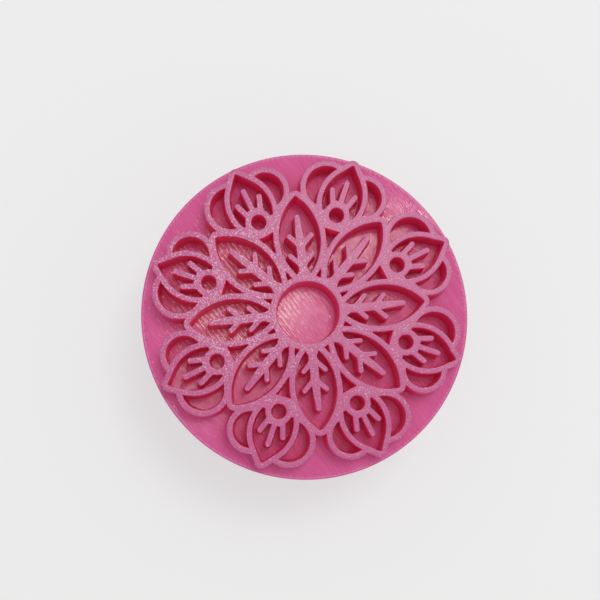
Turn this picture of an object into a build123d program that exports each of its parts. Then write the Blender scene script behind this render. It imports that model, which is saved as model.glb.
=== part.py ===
"""Round clay stamp: a disc with a raised flower mandala on its face and a turned handle in its back.

Millimetres, +Z up. The stamp stands on the end of its handle with the relief facing up, and
the origin is the middle of the handle's end. Eight leaves and eight buds stand round a hub ring.
Each motif is drawn once along +Y, with the middle of the stamp at zero, and then turned into place.
"""
import math
import os

from build123d import *

# Disc and relief
disc_diameter = 60.0
disc_thickness = 3.0
relief_height = 4.0
petal_count = 8

# Hub ring
hub_hole_radius = 5.64
hub_wall = 1.12

# Leaf frame: a pointed oval hole with an even wall, from inside the hub ring towards the disc's edge
leaf_wall = 1.02
leaf_side_clearance = 0.43
leaf_foot_overlap = 1.0
leaf_tip_fillet = 0.44
leaf_tip_share = 0.7085
web_foot_clearance = 1.41
web_end_share = 0.186

# Leaf sprig: a trunk that tapers into a stem, with two pairs of branches.
# Shares along the leaf are of its half length, and shares across it of its half width.
trunk_width = 1.56
trunk_foot_length = 0.92
trunk_foot_overlap = 0.15
stem_tip_width = 1.0
stem_root_share = -0.161
stem_tip_share = 0.486
stem_lean_share = 0.029
branch_width = 0.88
branch_angle = 44.0
branch_fillet = 0.88
branch_skew_share = 0.026
upper_branch_share = 0.055
upper_branch_reach_share = 0.536
lower_branch_share = -0.4
lower_branch_reach_share = 0.523

# Bud: an eye ring, three fingers, a pointed petal and a round lobe on each side.
# The shares are of half the room that a bud has between its neighbours.
bud_radius_share = 0.613
bud_lean = 2.0
bud_foot_share = 0.387
eye_hole_radius = 1.36
eye_wall = 1.04
petal_wall = 0.97
petal_tip_angle = 40.0
petal_tip_fillet = 0.29
petal_rise_share = 0.4424
petal_half_width_share = 0.5019
petal_side_share = 0.9332
petal_shift_share = 0.011
lobe_wall = 1.02
left_lobe_radius_share = 0.5323
left_lobe_place_shares = (-0.4756, 0.6249)
right_lobe_radius_share = 0.4645
right_lobe_place_shares = (0.5198, 0.6553)
finger_width = 0.97
finger_splay = 20.0
finger_root_shares = (0.1866, 0.2627)
side_finger_share = 0.3526
middle_finger_share = 0.6111
collar_half_shares = ((0.3526, 0.0346), (0.2489, 0.2558), (0.1383, 0.3664))

# Handle: a turned knob on a flange, with a peg glued into a blind socket in the disc
handle_height = 22.0
knob_radius = 14.0
knob_height = 9.0
knob_round = 2.6
handle_end_round = 2.0
waist_radius = 8.0
flange_radius = 13.0
flange_thickness = 1.6
peg_radius = 5.0
peg_length = 1.8
peg_side_clearance = 0.15
peg_end_clearance = 0.2

# Worked out from the sizes above: disc and hub
disc_radius = disc_diameter / 2
half_step = 180.0 / petal_count
half_room_share = math.sin(math.radians(half_step))
hub_outer_radius = hub_hole_radius + hub_wall
disc_bottom = handle_height
disc_top = disc_bottom + disc_thickness
socket_radius = peg_radius + peg_side_clearance
socket_depth = peg_length + peg_end_clearance

# Worked out from the sizes above: leaf
leaf_inner_radius = hub_outer_radius - leaf_foot_overlap
leaf_outer_radius = disc_radius * leaf_tip_share
leaf_middle_radius = (leaf_inner_radius + leaf_outer_radius) / 2
leaf_half_length = (leaf_outer_radius - leaf_inner_radius) / 2
leaf_half_room = leaf_middle_radius * half_room_share
leaf_hole_half_width = leaf_half_room - leaf_side_clearance - leaf_wall
leaf_side_radius = (leaf_half_length**2 + leaf_hole_half_width**2) / (2 * leaf_hole_half_width)
web_inner_radius = hub_outer_radius + web_foot_clearance
web_outer_radius = leaf_middle_radius - leaf_half_length * web_end_share

# Worked out from the sizes above: bud
bud_radius = disc_radius * bud_radius_share
bud_half_room = bud_radius * half_room_share
bud_foot_depth = bud_half_room * bud_foot_share
petal_half_width = bud_half_room * petal_half_width_share
finger_root_reach = bud_half_room * finger_root_shares[0]
finger_root_rise = bud_half_room * finger_root_shares[1]

# Cuts run this far past the faces that they open
overrun = 1.0
on_its_base = (Align.CENTER, Align.CENTER, Align.MIN)


def polar(radius, angle):
    """The point at a radius and at an angle in degrees from +Y, clockwise."""
    turn = math.radians(angle)
    return Vector(radius * math.sin(turn), radius * math.cos(turn))


def stroke(start, end, width):
    """A straight bar with round ends, from one point to another."""
    run = end - start
    middle = (start + end) / 2
    angle = math.degrees(math.atan2(run.Y, run.X))
    return Pos(middle.X, middle.Y) * Rot(0, 0, angle) * SlotCenterToCenter(run.length, width)


def inner_corner(corner, first, second, radius):
    """The piece that rounds a hollow corner between two unit directions that leave it."""
    half_angle = math.radians(first.get_angle(second)) / 2
    reach = radius / math.tan(half_angle)
    bisector = (first + second).normalized()
    centre = corner + bisector * (radius / math.sin(half_angle))
    start = corner + first * reach
    end = corner + second * reach
    outline = [
        Line(corner, start),
        ThreePointArc(start, centre - bisector * radius, end),
        Line(end, corner),
    ]
    return make_face(outline)


def pointed_oval(half_width, side_radius):
    """The leaf's outline: two equal arcs that meet in a point at each end, on the leaf's axis."""
    half_length = math.sqrt(side_radius**2 - (side_radius - half_width) ** 2)
    inner = (0, leaf_middle_radius - half_length)
    outer = (0, leaf_middle_radius + half_length)
    right = ThreePointArc(inner, (half_width, leaf_middle_radius), outer)
    left = ThreePointArc(outer, (-half_width, leaf_middle_radius), inner)
    return make_face([right, left])


def leaf_hole():
    """The open part of a leaf frame, with its outer point rounded."""
    hole = pointed_oval(leaf_hole_half_width, leaf_side_radius)
    tip = hole.vertices().sort_by(Axis.Y)[-1]
    return fillet(tip, leaf_tip_fillet)


def leaf_half_width_at(radius):
    """Half the width of the leaf's hole, at a distance from the middle of the stamp."""
    rise = radius - leaf_middle_radius
    inset = leaf_side_radius - leaf_hole_half_width
    return math.sqrt(leaf_side_radius**2 - rise**2) - inset


def sector(inner_radius, outer_radius):
    """The part of a ring round the middle that belongs to one leaf."""
    reach = outer_radius / math.cos(math.radians(half_step))
    wedge = make_face(Polyline((0, 0), polar(reach, half_step), polar(reach, -half_step), close=True))
    return (Circle(outer_radius) - Circle(inner_radius)) & wedge


def leaf_outline():
    """A leaf frame filled in: the oval with its wall, and the webs to the leaves beside it."""
    oval = pointed_oval(leaf_hole_half_width + leaf_wall, leaf_side_radius + leaf_wall)
    tip = oval.vertices().sort_by(Axis.Y)[-1]
    oval = fillet(tip, leaf_tip_fillet + leaf_wall)
    whole_sector = sector(hub_outer_radius, disc_radius)
    return (oval & whole_sector) + sector(web_inner_radius, web_outer_radius)


def branch(reach, radius):
    """One branch of a sprig, on the left where reach is less than zero, with its corner rounded."""
    side = math.copysign(1, reach)
    turn = math.radians(branch_angle)
    direction = Vector(side * math.sin(turn), math.cos(turn))
    root = Vector(0, radius - abs(reach) / math.tan(turn))
    drop = branch_width / 2 / math.sin(turn)
    corner_height = root.Y - drop + trunk_width / 2 / math.tan(turn)
    corner = Vector(side * trunk_width / 2, corner_height)
    bar = stroke(root, Vector(reach, radius), branch_width)
    return bar + inner_corner(corner, direction, Vector(0, -1), branch_fillet)


def trunk():
    """The middle vein of a sprig, from its foot on the hub ring to the tip of its stem."""
    foot_reach = leaf_half_width_at(hub_outer_radius) + trunk_foot_overlap
    foot_end = hub_outer_radius + trunk_foot_length
    stem_root = leaf_middle_radius + leaf_half_length * stem_root_share
    stem_tip = leaf_middle_radius + leaf_half_length * stem_tip_share
    stem_lean = leaf_hole_half_width * stem_lean_share
    outline = Polygon(
        (-foot_reach, hub_hole_radius),
        (foot_reach, hub_hole_radius),
        (foot_reach, hub_outer_radius),
        (trunk_width / 2, foot_end),
        (trunk_width / 2, stem_root),
        (stem_tip_width / 2 - stem_lean, stem_tip),
        (-stem_tip_width / 2 - stem_lean, stem_tip),
        (-trunk_width / 2, stem_root),
        (-trunk_width / 2, foot_end),
        (-foot_reach, hub_outer_radius),
        align=None,
    )
    return outline + Pos(-stem_lean, stem_tip) * Circle(stem_tip_width / 2)


def sprig():
    """The veins inside a leaf, from the hub ring outwards."""
    skew = leaf_hole_half_width * branch_skew_share
    upper_radius = leaf_middle_radius + leaf_half_length * upper_branch_share
    upper_reach = leaf_hole_half_width * upper_branch_reach_share
    lower_radius = leaf_middle_radius + leaf_half_length * lower_branch_share
    lower_reach = leaf_hole_half_width * lower_branch_reach_share
    veins = trunk()
    veins += branch(upper_reach + skew, upper_radius)
    veins += branch(skew - upper_reach, upper_radius)
    veins += branch(lower_reach - skew, lower_radius)
    veins += branch(-lower_reach - skew, lower_radius)
    return veins - Circle(hub_outer_radius)


def leaf():
    """A leaf frame with its sprig, flat."""
    return leaf_outline() - leaf_hole() + sprig()


def on_bud(shares):
    """The point of a bud that lies at these shares of its half room, from the middle of its eye."""
    across, along = shares
    return Vector(bud_half_room * across, bud_radius + bud_half_room * along)


def petal_outline(wall):
    """The bud's pointed petal with a wall round it: two arcs run on straight into a rounded tip."""
    middle = bud_radius + bud_half_room * petal_rise_share
    side_radius = bud_half_room * petal_side_share
    inset = side_radius - petal_half_width
    radius = side_radius + wall
    turn = math.radians(petal_tip_angle)
    shoulder = Vector(radius * math.cos(turn) - inset, middle + radius * math.sin(turn))
    tip = Vector(0, shoulder.Y + shoulder.X / math.tan(turn))
    foot = Vector(0, middle - math.sqrt(radius**2 - inset**2))
    side = Vector(radius - inset, middle)
    outline = [
        ThreePointArc(foot, side, shoulder),
        Line(shoulder, tip),
        Line(tip, (-shoulder.X, shoulder.Y)),
        ThreePointArc((-shoulder.X, shoulder.Y), (-side.X, side.Y), foot),
    ]
    petal = make_face(outline)
    return fillet(petal.vertices().sort_by(Axis.Y)[-1], petal_tip_fillet + wall)


def petal_hole():
    """The open part of a petal, above the foot of the eye ring's collar."""
    foot_height = on_bud(collar_half_shares[0]).Y
    return petal_outline(0) - Pos(0, foot_height - disc_radius / 2) * Rectangle(disc_diameter, disc_radius)


def lobe(radius_share, place_shares, wall):
    """One round lobe of a bud, with a wall round it."""
    centre = on_bud(place_shares)
    return Pos(centre.X, centre.Y) * Circle(bud_half_room * radius_share + wall)


def lobes(wall):
    """The two round lobes of a bud, with a wall round each."""
    left = lobe(left_lobe_radius_share, left_lobe_place_shares, wall)
    return left + lobe(right_lobe_radius_share, right_lobe_place_shares, wall)


def eye():
    """The eye ring, the collar that joins it to the petal, and its three fingers, without its hole."""
    centre = Vector(0, bud_radius)
    root = Vector(0, bud_radius + finger_root_rise)
    right_side = [on_bud(shares) for shares in collar_half_shares]
    left_side = [Vector(-corner.X, corner.Y) for corner in reversed(right_side)]
    shape = make_face(Polyline(*right_side, *left_side, close=True))
    shape += Pos(centre.X, centre.Y) * Circle(eye_hole_radius + eye_wall)
    shape += stroke(centre, root + polar(bud_half_room * middle_finger_share, 0), finger_width)
    for side in (-1, 1):
        side_root = root + Vector(side * finger_root_reach, 0)
        tip = side_root + polar(bud_half_room * side_finger_share, side * finger_splay)
        shape += stroke(side_root, tip, finger_width)
    return shape


def bud():
    """A bud, flat: it fills the space between two leaves down to its foot."""
    disc = Circle(disc_radius)
    centre = Pos(0, bud_radius)
    leaning = centre * Rot(0, 0, -bud_lean) * centre.inverse()
    throat_height = bud_foot_depth + finger_root_rise
    throat_middle = bud_radius + (finger_root_rise - bud_foot_depth) / 2
    throat = Pos(0, throat_middle) * Rectangle(2 * petal_half_width, throat_height)
    foot_height = bud_radius - bud_foot_depth
    below_foot = Pos(0, foot_height - disc_radius / 2) * Rectangle(disc_diameter, disc_radius)
    shift = Pos(bud_half_room * petal_shift_share, 0)
    petal = shift * petal_outline(petal_wall)
    body = leaning * (lobes(lobe_wall) + petal) + throat
    body -= leaning * (lobes(0) - petal)
    body -= leaning * (shift * petal_hole() - eye())
    body -= centre * Circle(eye_hole_radius)
    for side in (-half_step, half_step):
        body -= Rot(0, 0, side) * leaf_outline()
    return (body & disc) - below_foot


def raised(flat):
    """A flat motif stood up on the face of the disc."""
    return extrude(Pos(0, 0, disc_top) * flat, relief_height)


def base_disc():
    """The plain disc, with the blind socket for the handle's peg in its back."""
    disc = Cylinder(disc_radius, disc_thickness, align=on_its_base)
    socket = Pos(0, 0, -overrun) * Cylinder(socket_radius, socket_depth + overrun, align=on_its_base)
    return Pos(0, 0, disc_bottom) * (disc - socket)


def hub_ring():
    """The ring in the middle of the mandala."""
    return raised(Circle(hub_outer_radius) - Circle(hub_hole_radius))


def handle():
    """The turned handle: flat end, round knob, hollow waist, flange and peg."""
    flange_bottom = handle_height - flange_thickness
    end_radius = knob_radius - handle_end_round
    shoulder = knob_radius - knob_round
    outline = [
        Line((0, 0), (end_radius, 0)),
        RadiusArc((end_radius, 0), (knob_radius, handle_end_round), -handle_end_round),
        Line((knob_radius, handle_end_round), (knob_radius, knob_height - knob_round)),
        RadiusArc((knob_radius, knob_height - knob_round), (shoulder, knob_height), -knob_round),
        Spline(
            (shoulder, knob_height),
            (waist_radius, (knob_height + flange_bottom) / 2),
            (flange_radius, flange_bottom),
            tangents=[(-1, 0), (1, 0)],
        ),
        Polyline(
            (flange_radius, flange_bottom),
            (flange_radius, handle_height),
            (peg_radius, handle_height),
            (peg_radius, handle_height + peg_length),
            (0, handle_height + peg_length),
            (0, 0),
        ),
    ]
    profile = Plane.XZ * make_face(outline)
    return revolve(profile, Axis.Z)


def save(shape, name):
    """Write one piece under its own name."""
    export_step(shape, "parts/" + name + ".step")


def main():
    os.makedirs("parts", exist_ok=True)
    save(base_disc(), "base_disc")
    save(handle(), "handle")
    save(hub_ring(), "hub_ring")
    raised_leaf = raised(leaf())
    raised_bud = raised(bud())
    for number in range(petal_count):
        leaf_angle = number * 2 * half_step - 90
        save(Rot(0, 0, leaf_angle) * raised_leaf, f"leaf_{number + 1}")
        save(Rot(0, 0, leaf_angle + half_step) * raised_bud, f"bud_{number + 1}")


if __name__ == "__main__":
    main()
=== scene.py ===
"""Dresses the clay stamp: printed plastic relief, disc and handle, on a pale stage.

Metres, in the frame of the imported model: the stamp stands on its handle with the relief facing +Z.
"""
import math
import random

import bmesh
import bpy
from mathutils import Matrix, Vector, kdtree
from mathutils.bvhtree import BVHTree


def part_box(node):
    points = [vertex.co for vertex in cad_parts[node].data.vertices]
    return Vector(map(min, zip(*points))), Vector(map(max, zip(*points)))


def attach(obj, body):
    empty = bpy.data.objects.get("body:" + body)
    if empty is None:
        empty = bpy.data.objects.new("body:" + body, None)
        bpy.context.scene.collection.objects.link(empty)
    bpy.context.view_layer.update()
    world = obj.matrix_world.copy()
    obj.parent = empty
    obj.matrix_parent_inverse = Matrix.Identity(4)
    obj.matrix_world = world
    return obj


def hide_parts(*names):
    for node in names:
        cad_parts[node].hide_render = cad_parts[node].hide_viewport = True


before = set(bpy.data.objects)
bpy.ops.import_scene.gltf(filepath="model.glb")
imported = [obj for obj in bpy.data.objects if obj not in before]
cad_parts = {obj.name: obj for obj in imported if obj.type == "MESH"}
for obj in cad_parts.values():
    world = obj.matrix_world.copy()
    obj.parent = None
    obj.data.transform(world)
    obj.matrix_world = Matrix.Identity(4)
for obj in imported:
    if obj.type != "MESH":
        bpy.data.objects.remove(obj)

bl_info = {
    "name": "Printed clay stamp",
    "version": (1, 0, 0),
    "blender": (4, 5, 0),
    "location": "3D View > Sidebar > Stamp",
    "description": "Builds the printed finish of a round clay stamp on its packed frame",
    "category": "Object",
}

MM = 0.001
DISC_LOW, DISC_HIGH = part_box("base_disc")
RELIEF_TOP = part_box("hub_ring")[1].z
DISC_TOP = DISC_HIGH.z
DISC_BOTTOM = DISC_LOW.z
DISC_RADIUS = DISC_HIGH.x
RELIEF_NODES = ["hub_ring"] + [f"{kind}_{i}" for i in range(1, 9) for kind in ("leaf", "bud")]

# Direction of the printed lines on the disc, from +X
TRACK_ANGLE = math.radians(-57.35)

# Points within this many metres count as one
TOUCH = 1e-6

# A face is a wall while its normal rises less than the first, and level when it rises more than the second
WALL_RISE = 0.3
LEVEL_RISE = 0.9

# The relief's outline as samples: their distance, and how near two nodes' samples mean that they meet
OUTLINE_STEP = 0.025 * MM
MEETING_GAP = 0.1 * MM

# Two nodes' top edges nearer than this draw together, each by this share of the gap at most
SEAM_REACH = 0.2 * MM
SEAM_SHARE = 0.6

# The rounded top edge is cut in three steps, as shares of its radius
ROUNDING_STEPS = (0.12, 0.28, 0.6)

# Rounds of evening out a folded top, and after how many of them it takes in the next points around
UNFOLD_ROUNDS = 60
UNFOLD_WIDEN = 12

# Rounds of shortening the feet of walls that cross, and what each round leaves of their way
LEAN_ROUNDS = 24
LEAN_LEFT = 0.75

# How deep the relief's walls stand in the disc
FOOT_DEPTH = 0.08 * MM

# The disc's face ends this far inside its rim; its flat caps start from a small ring
EDGE_INSET = 0.03 * MM
CAP_RADIUS = 1.0 * MM
TIP_RADIUS = 0.02 * MM

# The socket in the disc's back and the handle's peg
SOCKET_RADIUS = 5.15 * MM
SOCKET_DEPTH = 2.0 * MM
PEG_RADIUS = 5.0 * MM

# The camera, fitted to the disc's outline and the pattern in the photograph
CAMERA_PLACE = (-13.04 * MM, -20.31 * MM, 174.72 * MM)
CAMERA_TURN = (2.66215, -3.83466, -6.19288)
CAMERA_LENS = 49.416
CAMERA_SENSOR = 36
CAMERA_SHIFT = (-0.004, 0.1589)
CAMERA_NEAR = 0.005

# Turn of the lamps about +Z, close to the photograph's own
LAMP_TURN = math.radians(-5.85)


# ---------------------------------------------------------------- settings

class StampSizes(bpy.types.PropertyGroup):
    """Sizes of the printed finish."""

    track_pitch: bpy.props.FloatProperty(
        name="Track pitch", description="Distance between printed lines on the disc",
        default=0.4 * MM, unit="LENGTH")
    track_crown: bpy.props.FloatProperty(
        name="Track crown", description="Height of a printed line over the groove beside it",
        default=0.035 * MM, unit="LENGTH")
    layer_height: bpy.props.FloatProperty(
        name="Layer height", description="Height of one printed layer on the rim and handle",
        default=0.2 * MM, unit="LENGTH")
    layer_bulge: bpy.props.FloatProperty(
        name="Layer bulge", description="How far a layer stands out from the joint below it",
        default=0.025 * MM, unit="LENGTH")
    edge_round: bpy.props.FloatProperty(
        name="Edge rounding", description="Radius of the relief's top edges",
        default=0.09 * MM, unit="LENGTH")
    foot_spread: bpy.props.FloatProperty(
        name="Foot spread", description="How far the relief's walls stand out at their foot",
        default=0.32 * MM, unit="LENGTH")
    top_clearance: bpy.props.FloatProperty(
        name="Top clearance", description="How far the flat top lies under the top of the solids",
        default=0.04 * MM, unit="LENGTH")
    mesh_step: bpy.props.FloatProperty(
        name="Mesh step", description="Longest edge on the relief's top",
        default=0.3 * MM, unit="LENGTH")


class StampColours(bpy.types.PropertyGroup):
    """Colours of the plastic and of the stage."""

    relief: bpy.props.FloatVectorProperty(
        name="Relief top", description="Pink of the relief's top surface",
        default=(0.62, 0.112, 0.308), subtype="COLOR", size=3, min=0, max=1)
    floor: bpy.props.FloatVectorProperty(
        name="Disc face", description="Pink of the disc's face between the motifs",
        default=(0.67, 0.092, 0.32), subtype="COLOR", size=3, min=0, max=1)
    # Painted shade: deep red that stands for the shade and red glow deep in the relief's recesses
    recess_painted_shade: bpy.props.FloatVectorProperty(
        name="Relief walls", description="Deep red that shows in the relief's walls",
        default=(0.75, 0.024, 0.125), subtype="COLOR", size=3, min=0, max=1)
    stage: bpy.props.FloatVectorProperty(
        name="Stage", description="Pale floor and backdrop",
        default=(0.86, 0.88, 0.88), subtype="COLOR", size=3, min=0, max=1)


# ---------------------------------------------------------------- shader helpers

class Value:
    """A number in a material: an expression on it adds the Math nodes for it."""

    def __init__(self, paint, socket):
        self.paint = paint
        self.socket = socket

    def maths(self, operation, *others):
        settings = {"operation": operation}
        return self.paint.value("ShaderNodeMath", settings, [self, *others])

    def __add__(self, other):
        return self.maths("ADD", other)

    __radd__ = __add__

    def __sub__(self, other):
        return self.maths("SUBTRACT", other)

    def __rsub__(self, other):
        return self.paint.value("ShaderNodeMath", {"operation": "SUBTRACT"}, [other, self])

    def __mul__(self, other):
        return self.maths("MULTIPLY", other)

    __rmul__ = __mul__

    def wave(self, period, phase=0.0):
        """A sine of this length, from 0 to 1."""
        return (self * (2 * math.pi / period) + phase).maths("SINE") * 0.5 + 0.5

    def power(self, exponent):
        return self.maths("POWER", exponent)

    def ramp(self, low, high, bottom=0.0, top=1.0):
        """A smooth step from bottom to top as the value goes from low to high."""
        settings = {"interpolation_type": "SMOOTHSTEP", "clamp": True}
        return self.paint.value("ShaderNodeMapRange", settings, [self, low, high, bottom, top])


class Paint:
    """Adds the nodes of one material."""

    def __init__(self, name):
        self.material = bpy.data.materials.new(name)
        self.material.use_nodes = True
        self.tree = self.material.node_tree
        self.tree.nodes.clear()

    def node(self, kind, settings=None, inputs=None):
        """Adds a node: its settings first, then the values or links of its sockets."""
        node = self.tree.nodes.new(kind)
        for key, setting in (settings or {}).items():
            setattr(node, key, setting)
        pairs = inputs.items() if isinstance(inputs, dict) else enumerate(inputs or [])
        for key, value in pairs:
            if isinstance(value, Value):
                self.tree.links.new(value.socket, node.inputs[key])
            elif isinstance(value, bpy.types.NodeSocket):
                self.tree.links.new(value, node.inputs[key])
            elif value is not None:
                node.inputs[key].default_value = value
        return node

    def value(self, kind, settings, inputs, output=0):
        return Value(self, self.node(kind, settings, inputs).outputs[output])

    def millimetres(self):
        """The place on the piece in millimetres, as a vector."""
        place = self.node("ShaderNodeTexCoord").outputs["Object"]
        inputs = {0: place, "Scale": 1 / MM}
        return self.node("ShaderNodeVectorMath", {"operation": "SCALE"}, inputs).outputs[0]

    def turned(self, place, angle):
        """The place turned about +Z, so that X runs along this angle."""
        inputs = {"Vector": place, "Rotation": (0, 0, -angle)}
        return self.node("ShaderNodeMapping", {"vector_type": "POINT"}, inputs).outputs[0]

    def split(self, place):
        node = self.node("ShaderNodeSeparateXYZ", None, [place])
        return [Value(self, output) for output in node.outputs]

    def noise(self, place, scale, detail=2.0, stretch=(1, 1, 1), roughness=0.5):
        """Noise from 0 to 1 whose cells are about 1 / scale millimetres long."""
        place = self.node("ShaderNodeMapping", None, {"Vector": place, "Scale": stretch}).outputs[0]
        inputs = {"Vector": place, "Scale": scale, "Detail": detail, "Roughness": roughness}
        return self.value("ShaderNodeTexNoise", {"noise_dimensions": "3D"}, inputs)

    def mix(self, factor, first, second):
        """A colour between two others."""
        colours = [
            c if isinstance(c, bpy.types.NodeSocket) else (*c[:3], 1) for c in (first, second)
        ]
        settings = {"data_type": "RGBA", "blend_type": "MIX", "clamp_factor": True}
        node = self.node("ShaderNodeMix", settings, {0: factor, 6: colours[0], 7: colours[1]})
        return node.outputs[2]

    def patch(self, place, centre, inner, outer):
        """A soft round patch, 1 at its centre, with a broken edge."""
        spread = self.node("ShaderNodeVectorMath", {"operation": "DISTANCE"}, [place, centre])
        distance = Value(self, spread.outputs["Value"]) + self.noise(place, 0.35, 2.0) * 9.0
        return 1 - distance.ramp(inner + 4.5, outer + 4.5)

    def bump(self, height, normal=None, strength=1.0):
        """A bump whose height is in millimetres."""
        inputs = {"Strength": strength, "Distance": MM, "Height": height, "Normal": normal}
        return self.node("ShaderNodeBump", None, inputs).outputs[0]

    def finish(self, colour, roughness, normal, **constants):
        """Ends in a Principled shader; the constants are set on its own sockets."""
        inputs = {"Base Color": colour, "Roughness": roughness, "Normal": normal}
        inputs.update(constants)
        shader = self.node("ShaderNodeBsdfPrincipled", None, inputs)
        self.node("ShaderNodeOutputMaterial", None, {"Surface": shader.outputs[0]})
        return self.material


SILKY = {"IOR": 1.5, "Specular IOR Level": 0.5}

# Middle of the painted glare on the disc's face: a pale patch of painted sheen and painted glints
PAINTED_GLARE_CENTRE = (-12.5, 5.0, 25.0)

# A weak glow that stands for light carried through the plastic
GLOW = {"Emission Color": (1.0, 0.02, 0.11, 1), "Emission Strength": 0.07}


def disc_face_plastic(colours):
    """The disc's face: printed lines side by side, in pairs, with painted glints strongest on one line of
    each pair.
    """
    paint = Paint("disc_face_plastic")
    place = paint.millimetres()
    run = paint.turned(place, TRACK_ANGLE)
    patches = paint.noise(place, 0.16, 2.0)
    streaks = paint.noise(run, 2.5, 2.0, (0.1, 1.0, 1.0))
    dashes = paint.noise(run, 3.6, 2.0, (0.3, 1.0, 1.0))
    grain = paint.noise(place, 6.0, 2.0)
    shade = streaks * 0.5 + patches * 0.5
    dark = [c * 0.92 for c in colours.floor]
    light = [c * s for c, s in zip(colours.floor, (1.06, 1.3, 1.15))]
    colour = paint.mix(shade.ramp(0.3, 0.75), dark, light)
    # A patch of painted glare, 1 at its middle
    painted_glare_patch = paint.patch(place, PAINTED_GLARE_CENTRE, 6.0, 17.5)
    _, across, _ = paint.split(run)
    # Painted glints: pale flecks along the lines, strongest on one line of each pair, only in the painted
    # glare patch
    line = (across + dashes * 0.12).wave(0.8).ramp(0.5, 0.78)
    fine = across.wave(0.4, 1.2).ramp(0.5, 0.9)
    fleck_and_painted_glint = (dashes + painted_glare_patch * 0.12).ramp(0.54, 0.62) * (line + fine * 0.35) * painted_glare_patch
    # Painted sheen: the face is a lighter pink inside the glare patch
    colour = paint.mix(painted_glare_patch * 0.12, colour, (0.86, 0.30, 0.45))
    colour = paint.mix(fleck_and_painted_glint.maths("MINIMUM", 1.0), colour, (1.0, 0.84, 0.86))
    normal = paint.bump(streaks * 0.02 + dashes.ramp(0.5, 0.68) * 0.02 + grain * 0.008)
    roughness = grain * 0.1 + 0.1
    return paint.finish(colour, roughness, normal, **SILKY, **GLOW)


def relief_top_plastic(colours):
    """The relief's top: tracks along its walls and short lines where it is wide, with specks that are
    small bumps and painted glints.
    """
    paint = Paint("relief_top_plastic")
    place = paint.millimetres()
    gap = paint.value("ShaderNodeAttribute", {"attribute_name": "edge_gap"}, None, "Fac")
    _, across, _ = paint.split(paint.turned(place, TRACK_ANGLE + math.pi / 2))
    wide = gap.ramp(0.62, 0.8)
    tracks = (gap * (math.pi / 0.345)).maths("SINE").maths("ABSOLUTE").power(0.5)
    infill = (across * (math.pi / 0.4)).maths("SINE").maths("ABSOLUTE").power(0.5)
    speckle = paint.noise(place, 4.2, 1.0)
    grain = paint.noise(place, 7.0, 2.0)
    # The painted glare patch on the relief's top, where the painted glints are densest
    painted_glare_patch = paint.patch(place, (*PAINTED_GLARE_CENTRE[:2], 29.0), 4.0, 26.0)
    density = painted_glare_patch * 0.10 + wide * 0.06
    # Specks: small bumps whose pale colour is painted glint, denser in the painted glare patch and where
    # the top is wide
    fleck_and_painted_glint = (speckle + density).ramp(0.62, 0.74)
    groove = 1 - (tracks * (1 - wide) + infill * wide)
    shade = fleck_and_painted_glint * 0.5 + grain * 0.3 + (1 - groove) * 0.3
    dark = [c * s for c, s in zip(colours.relief, (0.93, 0.82, 0.88))]
    light = [c * s for c, s in zip(colours.relief, (1.1, 1.35, 1.2))]
    colour = paint.mix(shade.ramp(0.2, 0.95), dark, light)
    # Painted glints: the specks are mixed towards a pale pink
    colour = paint.mix(fleck_and_painted_glint * 0.9, colour, (0.86, 0.50, 0.64))
    height = groove * -0.018 + fleck_and_painted_glint * 0.02 + grain * 0.008
    roughness = grain * 0.12 + 0.30
    return paint.finish(colour, roughness, paint.bump(height), **SILKY)


def relief_wall_plastic(colours):
    """The relief's walls: painted shade in deep red where they face into recesses, lighter towards the top
    edge, with the joints of the printed layers.
    """
    paint = Paint("relief_wall_plastic")
    place = paint.millimetres()
    _, _, height = paint.split(place)
    top = RELIEF_TOP / MM
    layers = (height * (math.pi / 0.2)).maths("SINE").maths("ABSOLUTE").power(0.5)
    grain = paint.noise(place, 3.0, 2.0, (1, 1, 4))
    edge = [c * s for c, s in zip(colours.relief, (1.0, 0.8, 0.9))]
    # Painted shade: the deep red, with a random grain in its tone
    deep = paint.mix(grain, [c * 0.85 for c in colours.recess_painted_shade], [c * 1.15 for c in colours.recess_painted_shade])
    outer = [c * s for c, s in zip(colours.floor, (0.95, 1.0, 0.9))]
    open_side = paint.value("ShaderNodeAttribute", {"attribute_name": "open_side"}, None, "Fac")
    # Walls that look out past the relief lose the painted shade and take the disc face's pink
    deep = paint.mix(open_side.ramp(0.25, 0.75), deep, outer)
    # Painted shade: darker deep down the wall, the top pink near its top edge
    colour = paint.mix(height.ramp(top - 0.45, top - 0.05), deep, edge)
    normal = paint.bump(layers * 0.02 + grain * 0.02)
    return paint.finish(colour, grain * 0.1 + 0.35, normal, **SILKY, **GLOW)


def body_plastic(colours):
    """The rim, back and handle: smooth silky plastic with a faint mottle."""
    paint = Paint("body_plastic")
    place = paint.millimetres()
    mottle = paint.noise(place, 0.8, 3.0)
    grain = paint.noise(place, 3.0, 3.0, (1, 1, 4))
    light = [c * s for c, s in zip(colours.floor, (1.12, 1.6, 1.3))]
    colour = paint.mix(mottle * 0.6 + grain * 0.4, colours.floor, light)
    return paint.finish(colour, grain * 0.12 + 0.27, paint.bump(grain * 0.02), **SILKY)


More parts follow.
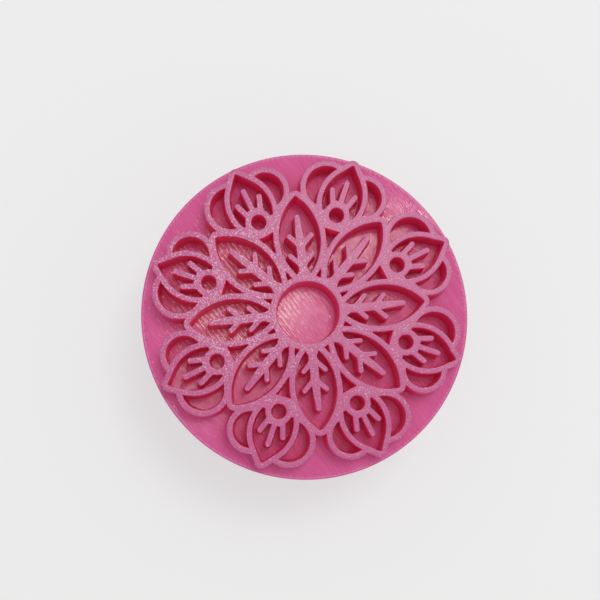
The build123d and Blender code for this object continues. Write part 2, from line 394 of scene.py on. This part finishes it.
def stage_paint(colours):
    """The pale floor: it keeps the stamp's soft shadow."""
    paint = Paint("stage_paint")
    path = paint.node("ShaderNodeLightPath").outputs
    place = paint.node("ShaderNodeTexCoord").outputs["Object"]
    cloud = paint.noise(place, 6.0, 2.0)
    pale = paint.mix(cloud, [c * 0.98 for c in colours.stage], colours.stage)
    matt = paint.node("ShaderNodeBsdfDiffuse", None, {"Color": pale}).outputs[0]
    glow = {"Color": (1, 1, 1, 1), "Strength": 1.0}
    white = paint.node("ShaderNodeEmission", None, glow).outputs[0]
    seen = Value(paint, path["Is Camera Ray"]) + Value(paint, path["Is Glossy Ray"])
    seen = seen + Value(paint, path["Is Transmission Ray"])
    mixed = paint.node("ShaderNodeMixShader", None, [seen.ramp(0, 1) * 0.5, matt, white]).outputs[0]
    paint.node("ShaderNodeOutputMaterial", None, {"Surface": mixed})
    return paint.material


# ---------------------------------------------------------------- mesh helpers

def only(obj):
    """Selects one object and makes it active."""
    if bpy.context.object and bpy.context.object.mode != "OBJECT":
        bpy.ops.object.mode_set(mode="OBJECT")
    bpy.ops.object.select_all(action="DESELECT")
    obj.select_set(True)
    bpy.context.view_layer.objects.active = obj


def name_it(obj, name):
    obj.name = name
    obj.data.name = name
    return obj


def settle(obj):
    """Puts an object's place into its mesh."""
    only(obj)
    bpy.ops.object.transform_apply(location=True, rotation=True, scale=True)


def join(objects, name):
    bpy.ops.object.select_all(action="DESELECT")
    for obj in objects:
        obj.select_set(True)
    bpy.context.view_layer.objects.active = objects[0]
    bpy.ops.object.join()
    return name_it(bpy.context.object, name)


def shade(obj, degrees):
    only(obj)
    bpy.ops.object.shade_smooth_by_angle(angle=math.radians(degrees), keep_sharp_edges=False)


def lathe(name, profile, segments):
    """A turned shape: a ring is extruded from point to point of its profile (radius, height)."""
    first = profile[0]
    bpy.ops.object.select_all(action="DESELECT")
    bpy.ops.mesh.primitive_circle_add(
        vertices=segments, radius=first[0], fill_type="NGON", location=(0, 0, first[1]))
    obj = name_it(bpy.context.object, name)
    settle(obj)
    bpy.ops.object.mode_set(mode="EDIT")
    bpy.ops.mesh.select_all(action="SELECT")
    before = first
    for radius, height in profile[1:]:
        rise = (0, 0, height - before[1])
        bpy.ops.mesh.extrude_region_move(TRANSFORM_OT_translate={"value": rise})
        factor = radius / before[0]
        bpy.ops.transform.resize(value=(factor, factor, 1), center_override=(0, 0, height))
        before = (radius, height)
    bpy.ops.mesh.select_all(action="SELECT")
    bpy.ops.mesh.normals_make_consistent(inside=False)
    bpy.ops.object.mode_set(mode="OBJECT")
    return obj


def turned(way, angle):
    """A direction turned about +Z."""
    cos, sin = math.cos(angle), math.sin(angle)
    return Vector((way.x * cos - way.y * sin, way.x * sin + way.y * cos, way.z))


def dress(obj, *materials):
    obj.data.materials.clear()
    for material in materials:
        obj.data.materials.append(material)


# ---------------------------------------------------------------- relief

def top_outline(mesh_object):
    """The edges round the flat top of a relief node, as pairs of points."""
    bm = bmesh.new()
    bm.from_mesh(mesh_object.data)
    bmesh.ops.remove_doubles(bm, verts=bm.verts, dist=TOUCH)
    edges = []
    for edge in bm.edges:
        if min(v.co.z for v in edge.verts) < RELIEF_TOP - TOUCH or len(edge.link_faces) != 2:
            continue
        if sum(face.normal.z > LEVEL_RISE for face in edge.link_faces) == 1:
            edges.append((edge.verts[0].co.copy(), edge.verts[1].co.copy()))
    bm.free()
    return edges


def tree_of(points):
    tree = kdtree.KDTree(len(points))
    for index, point in enumerate(points):
        tree.insert((point.x, point.y, 0), index)
    tree.balance()
    return tree


def relief_outline():
    """Search trees of the relief's outline, with and without the edges where two nodes meet."""
    points = []
    owners = []
    for node in RELIEF_NODES:
        for start, end in top_outline(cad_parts[node]):
            count = max(1, math.ceil((end - start).length / OUTLINE_STEP))
            points += [start.lerp(end, i / count) for i in range(count)]
            owners += [node] * count
    whole = tree_of(points)
    outer = []
    for point, owner in zip(points, owners):
        near = whole.find_range((point.x, point.y, 0), MEETING_GAP)
        if all(owners[index] == owner for _, index, _ in near):
            outer.append(point)
    corners = []
    faces = []
    for node in RELIEF_NODES:
        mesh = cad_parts[node].data
        faces += [[len(corners) + index for index in face.vertices] for face in mesh.polygons]
        corners += [vertex.co.copy() for vertex in mesh.vertices]
    walls = BVHTree.FromPolygons(corners, faces)
    return {
        "whole": whole, "points": points, "owners": owners, "outer": tree_of(outer), "walls": walls,
    }


def wall_ways(mesh):
    """The normals of the wall faces round each of their points."""
    ways = {}
    for face in mesh.polygons:
        if abs(face.normal.z) < WALL_RISE:
            for index in face.vertices:
                ways.setdefault(index, []).append(face.normal)
    return ways


def mark_open_sides(mesh, walls):
    """Stores how far each point of the walls looks out past the relief, from 0 in a recess to 1; the
    walls' painted shade follows it.
    """
    opens = mesh.attributes.new("open_side", "FLOAT", "POINT")
    turns = [math.radians(angle) for angle in (-60, -30, 0, 30, 60)]
    for index, normals in wall_ways(mesh).items():
        way = sum(normals, Vector())
        way = Vector((way.x, way.y, 0)).normalized()
        place = mesh.vertices[index].co
        start = Vector((place.x, place.y, RELIEF_TOP - MM)) + way * 0.1 * MM
        misses = 0
        for turn in turns:
            misses += walls.ray_cast(start, turned(way, turn), 20 * MM)[0] is None
        opens.data[index].value = misses / len(turns)


def close_seams(mesh, node, outline):
    """Moves a node's top edge to its neighbour's where they all but touch, as melted walls do."""
    for vertex in mesh.vertices:
        if vertex.co.z < RELIEF_TOP - TOUCH:
            continue
        near = outline["whole"].find_range((vertex.co.x, vertex.co.y, 0), SEAM_REACH)
        others = [(gap, index) for _, index, gap in near if outline["owners"][index] != node]
        if others:
            gap, index = min(others)
            target = outline["points"][index]
            share = SEAM_SHARE * min(1.0, 2 * (1 - gap / SEAM_REACH))
            vertex.co.x += (target.x - vertex.co.x) * share
            vertex.co.y += (target.y - vertex.co.y) * share


def inset_top(thickness):
    bpy.ops.mesh.inset(
        thickness=thickness, depth=0, use_boundary=True,
        use_even_offset=False, use_relative_offset=False)


def edges_between(bm):
    """The edges of selected faces only, in the mesh's order, so that each run makes the same shape."""
    return [edge for edge in bm.edges if edge.link_faces and all(f.select for f in edge.link_faces)]


def on_top(face):
    """Whether a face lies in the relief's flat top."""
    return all(vertex.co.z > RELIEF_TOP - TOUCH for vertex in face.verts)


def unfold_top(bm):
    """Evens out the points of top faces that the insets folded over."""
    bmesh.ops.triangulate(bm, faces=[face for face in bm.faces if on_top(face)])
    bm.verts.index_update()
    for reach in range(UNFOLD_ROUNDS):
        bm.normal_update()
        folded = [face for face in bm.faces if face.normal.z < 0 and on_top(face)]
        if not folded:
            return
        points = {v for f in folded for v in f.verts}
        for _ in range(reach // UNFOLD_WIDEN):
            points |= {e.other_vert(v) for v in points for e in v.link_edges}
        for point in sorted(points, key=lambda v: v.index):
            if all(on_top(face) for face in point.link_faces):
                around = [e.other_vert(point).co for e in point.link_edges]
                point.co = sum(around, Vector()) / len(around)


def crossed_points(mesh):
    """The points of faces that pass through another face of the same piece."""
    tree = BVHTree.FromPolygons([v.co for v in mesh.vertices], [p.vertices for p in mesh.polygons])
    crossed = set()
    for first, second in tree.overlap(tree):
        corners = set(mesh.polygons[first].vertices), set(mesh.polygons[second].vertices)
        if first < second and not corners[0] & corners[1]:
            crossed |= corners[0] | corners[1]
    return crossed


def spread_foot(mesh, spread):
    """Moves the foot of the walls outwards, which brings their dark bands near the photograph's.

    The lean is fitted, not seen. Where two walls would pass through each other, feet go less far.
    """
    moves = {}
    for index, normals in wall_ways(mesh).items():
        if mesh.vertices[index].co.z < RELIEF_TOP - MM:
            way = sum(normals, Vector()) / len(normals)
            moves[index] = Vector((way.x, way.y, 0)) * spread / max(way.length_squared, 0.6)
    starts = {index: mesh.vertices[index].co.copy() for index in moves}
    shares = dict.fromkeys(moves, 1.0)
    for _ in range(LEAN_ROUNDS):
        for index, move in moves.items():
            mesh.vertices[index].co = starts[index] + move * shares[index]
        crossed = crossed_points(mesh) & set(moves)
        for index in crossed:
            shares[index] *= LEAN_LEFT
        if not crossed:
            break


def refine_relief(node, outline, sizes, materials):
    """A copy of a relief node with rounded top edges, whose top knows how far its outline is."""
    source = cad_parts[node]
    piece = source.copy()
    piece.data = source.data.copy()
    piece.parent = None
    for key in list(piece.keys()):
        del piece[key]
    bpy.context.scene.collection.objects.link(piece)
    name_it(piece, node + "_print")
    dress(piece, *materials)
    only(piece)
    bpy.ops.object.mode_set(mode="EDIT")
    bpy.ops.mesh.select_mode(type="FACE")
    bpy.ops.mesh.select_all(action="SELECT")
    bpy.ops.mesh.remove_doubles(threshold=TOUCH)
    bpy.ops.mesh.select_all(action="DESELECT")
    bpy.ops.object.mode_set(mode="OBJECT")
    close_seams(piece.data, node, outline)
    bpy.ops.object.mode_set(mode="EDIT")
    bm = bmesh.from_edit_mesh(piece.data)
    for face in bm.faces:
        flat_top = face.normal.z > LEVEL_RISE and face.calc_center_median().z > RELIEF_TOP - TOUCH
        face.select_set(flat_top)
        face.material_index = 1 if flat_top else 0
    bmesh.update_edit_mesh(piece.data)
    for share in ROUNDING_STEPS:
        inset_top(sizes.edge_round * share)
    for _ in range(5):
        bm = bmesh.from_edit_mesh(piece.data)
        long_edges = [e for e in edges_between(bm) if e.calc_length() > sizes.mesh_step]
        if not long_edges:
            break
        bmesh.ops.subdivide_edges(bm, edges=long_edges, cuts=1)
        made = bmesh.ops.triangulate(bm, faces=[f for f in bm.faces if f.select])["faces"]
        for face in made:
            face.select_set(True)
        inner = [f for f in bm.faces if f.select]
        bmesh.ops.beautify_fill(bm, faces=inner, edges=edges_between(bm), method="AREA")
        bmesh.update_edit_mesh(piece.data)
    bm = bmesh.from_edit_mesh(piece.data)
    unfold_top(bm)
    bmesh.update_edit_mesh(piece.data)
    bpy.ops.object.mode_set(mode="OBJECT")
    mark_open_sides(piece.data, outline["walls"])
    spread_foot(piece.data, sizes.foot_spread)
    gaps = piece.data.attributes.new("edge_gap", "FLOAT", "POINT")
    radius = sizes.edge_round
    flat = RELIEF_TOP - sizes.top_clearance
    for vertex in piece.data.vertices:
        if vertex.co.z > RELIEF_TOP - TOUCH:
            gap = outline["outer"].find((vertex.co.x, vertex.co.y, 0))[2]
            gaps.data[vertex.index].value = gap / MM
            inside = radius - min(gap, radius)
            vertex.co.z = flat - radius + math.sqrt(radius**2 - inside**2)
        else:
            vertex.co.z -= FOOT_DEPTH
    shade(piece, 50)
    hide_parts(node)
    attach(piece, "root")
    return piece


# ---------------------------------------------------------------- disc and handle

def layered(points, height, bulge):
    """A profile cut into printed layers, each standing out between the joints round it."""
    made = []
    for (r0, z0), (r1, z1) in zip(points, points[1:]):
        count = max(1, round(abs(z1 - z0) / height))
        for i in range(count):
            low, high = i / count, (i + 1) / count
            for share, out in ((0.0, -1.0), (0.22, -0.25), (0.5, 0.0), (0.78, -0.25)):
                part = low + (high - low) * share
                made.append((r0 + (r1 - r0) * part + bulge * out, z0 + (z1 - z0) * part))
    made.append((points[-1][0] - bulge, points[-1][1]))
    return made


def make_disc(sizes):
    """The disc, with a layered rim, one printed line round its face and the socket in its back."""
    radius = DISC_RADIUS
    valley = DISC_TOP - sizes.track_crown
    half = sizes.track_pitch / 2
    edge = radius - sizes.layer_bulge - EDGE_INSET
    face = [
        (CAP_RADIUS, valley), (edge - 2 * half, valley), (edge - 1.6 * half, DISC_TOP - 0.02 * MM),
        (edge - half, DISC_TOP), (edge - 0.4 * half, DISC_TOP - 0.02 * MM),
        (edge, DISC_TOP - 0.06 * MM),
    ]
    side = [(radius, DISC_TOP - 0.1 * MM), (radius, DISC_BOTTOM)]
    rim = layered(side, sizes.layer_height, sizes.layer_bulge)
    back = [
        (radius - 0.15 * MM, DISC_BOTTOM), (SOCKET_RADIUS, DISC_BOTTOM),
        (SOCKET_RADIUS, DISC_BOTTOM + SOCKET_DEPTH), (CAP_RADIUS, DISC_BOTTOM + SOCKET_DEPTH),
    ]
    return lathe("disc_print", face + rim[:-1] + back, 256)


def make_tracks(sizes):
    """The printed lines on the disc's face, with a bead where each pair turns round."""
    rng = random.Random(7)
    pitch = sizes.track_pitch
    crown = sizes.track_crown
    reach = DISC_RADIUS - sizes.layer_bulge - EDGE_INSET - 0.9 * pitch
    bpy.ops.object.select_all(action="DESELECT")
    bpy.ops.mesh.primitive_grid_add(x_subdivisions=3, y_subdivisions=6, size=1)
    line = name_it(bpy.context.object, "track")
    settle(line)
    ends = {0: -0.5, 1: -0.5, 2: 0.5, 3: 0.5}
    for vertex in line.data.vertices:
        column = round((vertex.co.x + 0.5) * 3)
        across = vertex.co.y
        tip = column in (0, 3)
        arch = math.sqrt(max(0.0, 1 - (2 * across) ** 2))
        vertex.co.z = DISC_TOP - crown * (1 - arch) - (crown if tip else 0)
        vertex.co.x = ends[column] + (0 if tip else math.copysign(0.12 * MM, -vertex.co.x))
        vertex.co.y = across * pitch
    only(line)
    bpy.ops.object.mode_set(mode="EDIT")
    bpy.ops.mesh.select_all(action="SELECT")
    bpy.ops.mesh.extrude_region_move(TRANSFORM_OT_translate={"value": (0, 0, -1.6 * crown)})
    bpy.ops.mesh.select_all(action="SELECT")
    bpy.ops.mesh.normals_make_consistent(inside=False)
    bpy.ops.object.mode_set(mode="OBJECT")
    bpy.ops.object.select_all(action="DESELECT")
    bpy.ops.mesh.primitive_uv_sphere_add(segments=10, ring_count=5, radius=1)
    bead = name_it(bpy.context.object, "turn_bead")
    turn = Vector((math.cos(TRACK_ANGLE), math.sin(TRACK_ANGLE), 0))
    side = Vector((-turn.y, turn.x, 0))
    count = int(reach / pitch)
    made = []
    for number in range(-count, count + 1):
        offset = number * pitch + rng.uniform(-0.012, 0.012) * MM
        half = math.sqrt(reach**2 - offset**2) + rng.uniform(-0.05, 0.03) * MM
        if half < pitch:
            continue
        drop = (0.008 if number % 2 else 0.0) * MM + rng.uniform(0, 0.006) * MM
        copy = line.copy()
        copy.data = line.data.copy()
        bpy.context.scene.collection.objects.link(copy)
        for vertex in copy.data.vertices:
            along = math.copysign(abs(vertex.co.x) - 0.5 + half, vertex.co.x)
            place = turn * along + side * (offset + vertex.co.y)
            vertex.co = (place.x, place.y, vertex.co.z - drop)
        made.append(copy)
        sense = 1 if number % 2 else -1
        if number < count:
            copy = bead.copy()
            copy.data = bead.data.copy()
            bpy.context.scene.collection.objects.link(copy)
            place = turn * (sense * (half + 0.02 * MM)) + side * (offset + pitch / 2)
            wide = rng.uniform(0.13, 0.2) * MM
            for vertex in copy.data.vertices:
                vertex.co = (place.x + vertex.co.x * wide, place.y + vertex.co.y * wide,
                             DISC_TOP - 0.03 * MM + vertex.co.z * 0.05 * MM)
            made.append(copy)
    for obj in (line, bead):
        bpy.data.objects.remove(obj)
    return join(made, "disc_tracks")


def make_handle(sizes):
    """The handle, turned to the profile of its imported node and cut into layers."""
    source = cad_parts["handle"]
    tree = BVHTree.FromObject(source, bpy.context.evaluated_depsgraph_get())
    low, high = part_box("handle")
    top = DISC_BOTTOM
    profile = [(TIP_RADIUS, low.z)]
    step = sizes.layer_height
    count = round((top - low.z) / step)
    radii = []
    for i in range(count + 1):
        height = min(max(low.z + i * step, low.z + 0.01 * MM), top - 0.01 * MM)
        hit = tree.ray_cast(Vector((0.05, 0, height)), Vector((-1, 0, 0)))[0]
        radii.append((hit.x, low.z + i * step))
    for lower, upper in zip(radii, radii[1:]):
        profile += layered([lower, upper], step, sizes.layer_bulge)[:-1]
    peg = [(PEG_RADIUS, top), (PEG_RADIUS, high.z), (TIP_RADIUS, high.z)]
    return lathe("handle_print", profile + [(radii[-1][0] - sizes.layer_bulge, top)] + peg, 128)


# ---------------------------------------------------------------- operators

def colours():
    return bpy.context.scene.stamp_colours


def sizes():
    return bpy.context.scene.stamp_sizes


class STAMP_OT_disc(bpy.types.Operator):
    """Build the printed disc with its layered rim"""

    bl_idname = "stamp.disc"
    bl_label = "Printed disc"

    def execute(self, context):
        disc = make_disc(sizes())
        dress(disc, bpy.data.materials.get("body_plastic") or body_plastic(colours()))
        shade(disc, 35)
        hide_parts("base_disc")
        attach(disc, "root")
        return {"FINISHED"}


class STAMP_OT_tracks(bpy.types.Operator):
    """Lay the printed lines on the disc's face"""

    bl_idname = "stamp.tracks"
    bl_label = "Disc tracks"

    def execute(self, context):
        tracks = make_tracks(sizes())
        dress(tracks, disc_face_plastic(colours()))
        shade(tracks, 60)
        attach(tracks, "root")
        return {"FINISHED"}


class STAMP_OT_relief(bpy.types.Operator):
    """Refine the hub ring, the leaves and the buds"""

    bl_idname = "stamp.relief"
    bl_label = "Printed relief"

    def execute(self, context):
        outline = relief_outline()
        materials = (relief_wall_plastic(colours()), relief_top_plastic(colours()))
        for node in RELIEF_NODES:
            refine_relief(node, outline, sizes(), materials)
        return {"FINISHED"}


class STAMP_OT_handle(bpy.types.Operator):
    """Turn the layered handle"""

    bl_idname = "stamp.handle"
    bl_label = "Printed handle"

    def execute(self, context):
        handle = make_handle(sizes())
        dress(handle, bpy.data.materials.get("body_plastic") or body_plastic(colours()))
        shade(handle, 35)
        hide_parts("handle")
        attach(handle, "root")
        return {"FINISHED"}


class STAMP_OT_stage(bpy.types.Operator):
    """Set the pale floor, the lamps, the world and the camera"""

    bl_idname = "stamp.stage"
    bl_label = "Stage and camera"

    def execute(self, context):
        scene = context.scene
        bpy.ops.object.select_all(action="DESELECT")
        bpy.ops.mesh.primitive_plane_add(size=4.0, location=(0, 0, -0.02 * MM))
        floor = name_it(bpy.context.object, "stage_floor")
        settle(floor)
        dress(floor, stage_paint(colours()))
        self.lamp("key_lamp", (0.24, 0.30, 0.92), 0.6, 0.22, 0.9, (1.0, 0.98, 0.97))
        glint = self.lamp("glint_lamp", (0.12, 0.285, 0.95), 0.55, 0.05, 0.4, (1.0, 0.97, 0.9))
        glint.visible_diffuse = False
        world = bpy.data.worlds.new("stage_world")
        scene.world = world
        world.use_nodes = True
        background = world.node_tree.nodes["Background"]
        background.inputs["Color"].default_value = (1.0, 0.99, 0.98, 1)
        background.inputs["Strength"].default_value = 0.6
        camera_data = bpy.data.cameras.new("photo_camera")
        camera = bpy.data.objects.new("photo_camera", camera_data)
        scene.collection.objects.link(camera)
        camera.location = CAMERA_PLACE
        camera.rotation_euler = [math.radians(angle) for angle in CAMERA_TURN]
        camera_data.lens = CAMERA_LENS
        camera_data.sensor_width = CAMERA_SENSOR
        camera_data.shift_x, camera_data.shift_y = CAMERA_SHIFT
        camera_data.clip_start = CAMERA_NEAR
        scene.camera = camera
        scene.view_settings.view_transform = "Standard"
        return {"FINISHED"}

    def lamp(self, name, direction, distance, size, energy, colour):
        """A square soft lamp that faces the stamp."""
        data = bpy.data.lights.new(name, "AREA")
        data.shape = "SQUARE"
        data.size = size
        data.energy = energy
        data.color = colour
        lamp = bpy.data.objects.new(name, data)
        bpy.context.scene.collection.objects.link(lamp)
        way = turned(Vector(direction).normalized(), LAMP_TURN)
        lamp.location = way * distance + Vector((0, 0, DISC_TOP))
        lamp.rotation_euler = way.to_track_quat("Z", "Y").to_euler()
        return lamp


class STAMP_PT_panel(bpy.types.Panel):
    """Lists the pieces of the stamp"""

    bl_idname = "STAMP_PT_panel"
    bl_label = "Printed clay stamp"
    bl_space_type = "VIEW_3D"
    bl_region_type = "UI"
    bl_category = "Stamp"

    def draw(self, context):
        for group in (context.scene.stamp_sizes, context.scene.stamp_colours):
            for key in group.__annotations__:
                self.layout.prop(group, key)
        for operator in STEPS:
            self.layout.operator(operator.bl_idname)


STEPS = (STAMP_OT_disc, STAMP_OT_tracks, STAMP_OT_relief, STAMP_OT_handle, STAMP_OT_stage)
CLASSES = (StampSizes, StampColours, *STEPS, STAMP_PT_panel)


def register():
    for cls in CLASSES:
        bpy.utils.register_class(cls)
    bpy.types.Scene.stamp_sizes = bpy.props.PointerProperty(type=StampSizes)
    bpy.types.Scene.stamp_colours = bpy.props.PointerProperty(type=StampColours)


def unregister():
    del bpy.types.Scene.stamp_colours
    del bpy.types.Scene.stamp_sizes
    for cls in reversed(CLASSES):
        bpy.utils.unregister_class(cls)


def main():
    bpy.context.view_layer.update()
    register()
    bpy.ops.stamp.disc()
    bpy.ops.stamp.tracks()
    bpy.ops.stamp.relief()
    bpy.ops.stamp.handle()
    bpy.ops.stamp.stage()


if __name__ == "__main__":
    main()
